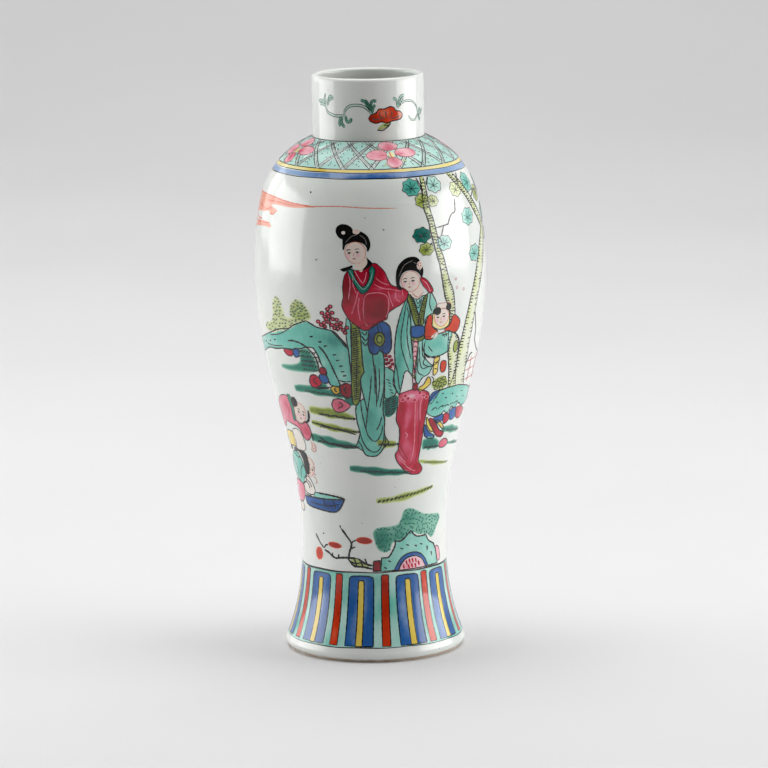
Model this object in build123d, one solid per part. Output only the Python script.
from build123d import *
import os

# A porcelain baluster vase with a flared foot and an upright neck.
#
# The vase is built as a potter builds it.  Four sections are thrown one by one: the flared
# foot, the lower body, the upper body and the neck.  A turned disc closes the foot.  Thin
# lutes of slip join the pieces.  A glaze coat then covers the outside, the lip and the inside
# in one skin, and a second patch of glaze covers the underside of the disc.  The foot rim
# stays bare.
#
# Frame: millimetres, +Z up, origin on the table at the centre of the foot.

# ---- driving dimensions (mm) -------------------------------------------------------------
# heights above the table
total_height = 300.0
neck_height = 31.8          # upright neck, measured down from the lip
waist_level = 57.0          # narrowest point above the foot
belly_level = 201.0         # widest point
foot_edge_level = 4.6       # height of the foot's widest line

# diameters over the glaze
foot_diameter = 93.6
waist_diameter = 74.6
belly_diameter = 119.6
neck_diameter = 57.7

# porcelain walls, without glaze
foot_wall = 5.4
waist_wall = 4.2
belly_wall = 3.6
neck_wall = 2.8
disc_thickness = 5.5

# foot rim and the recess under the disc
recess_depth = 7.0          # from the table up to the underside of the disc
rim_width = 3.4             # flat bare ring that the vase stands on
rim_round = 1.6             # how far the glazed edge curves in above the bare rim
rim_chamfer = 1.0           # bare bevel between the glaze and the flat ring
rim_slope = 1.2             # the rim's inner side leans in by this much up to the disc
bare_rim_height = 1.5       # the glaze stops this far above the table
floor_round = 6.0           # round between the inside wall and the floor

glaze_thickness = 0.3
lute_thickness = 0.8

# ---- places worked out from the dimensions -----------------------------------------------
neck_level = total_height - neck_height
disc_top = recess_depth + disc_thickness
lower_joint_level = waist_level + 2.0
upper_joint_level = (waist_level + belly_level) / 2 + 10.0


def between(low, high, shares):
    """Points from one (radius, height) station to the next, by shares of the way across and up."""
    return [
        (low[0] + (high[0] - low[0]) * across, low[1] + (high[1] - low[1]) * up)
        for across, up in shares
    ]


foot_station = (foot_diameter / 2, foot_edge_level)
waist_station = (waist_diameter / 2, waist_level)
belly_station = (belly_diameter / 2, belly_level)
neck_station = (neck_diameter / 2, neck_level)

flare_shape = [(0.60, 0.32), (0.89, 0.63)]
swell_shape = [(0.12, 0.22), (0.41, 0.44), (0.74, 0.645), (0.93, 0.82)]
shoulder_shape = [(0.045, 0.32), (0.16, 0.59), (0.31, 0.74), (0.48, 0.84), (0.715, 0.93)]

outer_points = (
    [foot_station]
    + between(foot_station, waist_station, flare_shape)
    + [waist_station]
    + between(waist_station, belly_station, swell_shape)
    + [belly_station]
    + between(belly_station, neck_station, shoulder_shape)
    + [neck_station]
)
outer_curve = Spline([(radius, 0, height) for radius, height in outer_points])


def share_at(height):
    """How far along the outer curve a height lies, found by halving."""
    low, high = 0.0, 1.0
    for _ in range(40):
        middle = (low + high) / 2
        if (outer_curve @ middle).Z < height:
            low = middle
        else:
            high = middle
    return (low + high) / 2


def wall_at(height):
    """Wall thickness at a height, blended between the stations on each side of it."""
    stations = [
        (foot_edge_level, foot_wall),
        (waist_level, waist_wall),
        (belly_level, belly_wall),
        (neck_level, neck_wall),
    ]
    for (low, wall_low), (high, wall_high) in zip(stations, stations[1:]):
        if height <= high:
            return wall_low + (wall_high - wall_low) * max(0.0, (height - low) / (high - low))
    return neck_wall


def inwards_at(height):
    """Unit vector into the wall, square to the outer curve."""
    tangent = outer_curve % share_at(height)
    return Vector(-tangent.Z, 0, tangent.X)


def skin_points(depth_at):
    """Knots of the outer curve moved into the wall. At the neck both walls keep their depth."""
    moved = [
        Vector(radius, 0, height) + inwards_at(height) * depth_at(height)
        for radius, height in outer_points[:-1]
    ]
    across = Vector(-1, 0, 0)
    shoulder = inwards_at(neck_level)
    corner = (across + shoulder) * (1 / (1 + across.dot(shoulder)))
    moved.append(Vector(neck_station[0], 0, neck_level) + corner * depth_at(neck_level))
    return moved


def skin(inset):
    """Edges from the glaze's lower stop, up the outside, over the lip, down to the floor's centre.

    inset is 0 for the glazed surface, and the glaze's thickness for the porcelain under it.
    """
    outside = skin_points(lambda height: inset)
    inside = skin_points(lambda height: wall_at(height) + 2 * glaze_thickness - inset)
    foot_edge, outer_top, inner_top = outside[0], outside[-1], inside[-1]

    lip_round = (outer_top.X - inner_top.X) / 2
    lip_centre = Vector(inner_top.X + lip_round, 0, total_height - inset - lip_round)
    outer_lip = lip_centre + Vector(lip_round, 0, 0)
    inner_lip = lip_centre - Vector(lip_round, 0, 0)

    floor_level = disc_top + glaze_thickness - inset
    wall_foot = Vector(outer_curve @ share_at(floor_level + floor_round))
    wall_foot += inwards_at(wall_foot.Z) * (wall_at(wall_foot.Z) + 2 * glaze_thickness - inset)
    inside_knots = [point for point in inside if point.Z > wall_foot.Z + floor_round / 2]
    inside_curve = Spline([wall_foot] + inside_knots)
    floor_edge = Vector(floor_radius, 0, floor_level)
    return [
        TangentArc(foot_edge, glaze_stop(inset), tangent=(0, 0, -1)),
        Spline(outside),
        Line(outer_top, outer_lip),
        ThreePointArc(outer_lip, lip_centre + Vector(0, 0, lip_round), inner_lip),
        Line(inner_lip, inner_top),
        inside_curve,
        Spline([wall_foot, floor_edge], tangents=[-(inside_curve % 0), Vector(-1, 0, 0)]),
        Line(floor_edge, (0, 0, floor_level)),
    ]


def glaze_stop(inset):
    """Where the glaze ends on the outside of the foot."""
    return Vector(foot_station[0] - rim_round - inset, 0, bare_rim_height)


inner_foot_radius = foot_station[0] - foot_wall - 2 * glaze_thickness
floor_radius = inner_foot_radius - 2 * floor_round
disc_radius = floor_radius - lute_thickness
rim_outer_radius = glaze_stop(glaze_thickness).X - rim_chamfer
rim_inner_radius = rim_outer_radius - rim_width
recess_radius = rim_inner_radius - rim_slope


def porcelain():
    """The whole bare vessel as one solid of revolution, before it is divided into its pieces."""
    underside = Polyline(
        (0, 0, disc_top),
        (0, 0, recess_depth),
        (recess_radius, 0, recess_depth),
        (rim_inner_radius, 0, 0),
        (rim_outer_radius, 0, 0),
        glaze_stop(glaze_thickness),
    )
    return revolve(make_face(skin(glaze_thickness) + [underside]), Axis.Z)


def glaze_coat():
    """The glaze outside, over the lip and inside, as one thin closed skin."""
    floor_line = Line((0, 0, disc_top), (0, 0, disc_top + glaze_thickness))
    stop_line = Line(glaze_stop(0), glaze_stop(glaze_thickness))
    edges = skin(0) + skin(glaze_thickness) + [floor_line, stop_line]
    return revolve(make_face(edges), Axis.Z)


def slab(low, high, radius=belly_diameter):
    """A round slab on the axis, for cutting the vessel into what lies between two heights."""
    upright = (Align.CENTER, Align.CENTER, Align.MIN)
    return Pos(0, 0, low) * Cylinder(radius, high - low, align=upright)


def thrown_sections(vessel):
    """The four thrown sections and the lutes between them, from the table up."""
    joints = [
        ("lute_waist", lower_joint_level),
        ("lute_belly", upper_joint_level),
        ("lute_neck", neck_level - neck_wall),
    ]
    names = ["foot_section", "lower_body_section", "upper_body_section", "neck_section"]
    pieces = {}
    bottom = 0.0
    for section, (lute, level) in zip(names, joints):
        lute_bottom = level - lute_thickness / 2
        lute_top = level + lute_thickness / 2
        pieces[section] = vessel & slab(bottom, lute_bottom)
        pieces[lute] = vessel & slab(lute_bottom, lute_top)
        bottom = lute_top
    pieces[names[-1]] = vessel & slab(bottom, total_height)
    return pieces


def divide(vessel):
    """Every porcelain piece: the sections, the disc that closes the foot, and their lutes."""
    pieces = thrown_sections(vessel)
    plug = slab(recess_depth, disc_top, floor_radius)
    disc = slab(recess_depth, disc_top, disc_radius)
    pieces["foot_section"] = pieces["foot_section"] - plug
    pieces["base_disc"] = disc
    pieces["lute_disc"] = plug - disc
    return pieces


pieces = divide(porcelain())
pieces["glaze_coat"] = glaze_coat()
pieces["glaze_underside"] = slab(recess_depth - glaze_thickness, recess_depth, recess_radius)

os.makedirs("parts", exist_ok=True)
for name, shape in pieces.items():
    shape.label = name
    export_step(shape, f"parts/{name}.step")
    print(name, round(shape.volume), "mm3")
